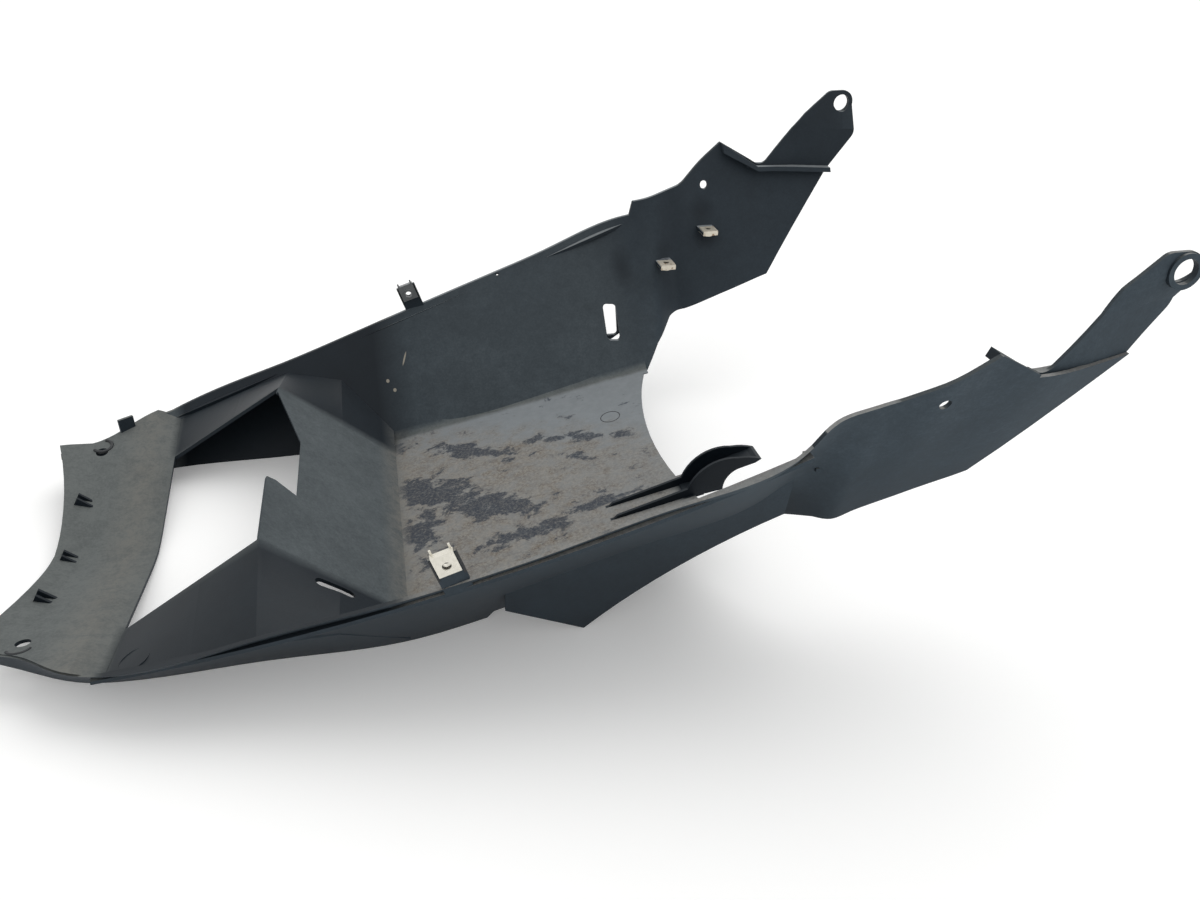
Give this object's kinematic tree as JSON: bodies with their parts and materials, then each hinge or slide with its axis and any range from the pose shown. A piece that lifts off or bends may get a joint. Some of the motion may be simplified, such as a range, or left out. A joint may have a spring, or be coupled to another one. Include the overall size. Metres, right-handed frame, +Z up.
{
  "type": "lower fairing",
  "caption": "Trough-shaped belly fairing of a scooter with sloping floor, open bottom behind the front dish, belly fins, rear arms with eared ends and clip nuts.",
  "frame": {"origin": "bottom centre of the bounding box, on the table plane", "axes": "+X from the front edge to the rear ears, +Y across to the far side of the picture, +Z up as it lies on a table"},
  "size_m": [0.6792, 0.4568, 0.2565],
  "materials": {
    "fairing_plastic": "moulded black polypropylene, dusty inside",
    "zinc_clip": "zinc plated spring steel",
    "rusty_clip": "spring steel with rust and white corrosion"
  },
  "bodies": {
    "root": {"fairing_shell": "fairing_plastic", "clip_nut_rail_near": "zinc_clip", "clip_nut_rail_far": "zinc_clip", "clip_nut_arm_front": "rusty_clip", "clip_nut_arm_rear": "rusty_clip"}
  },
  "joints": []
}
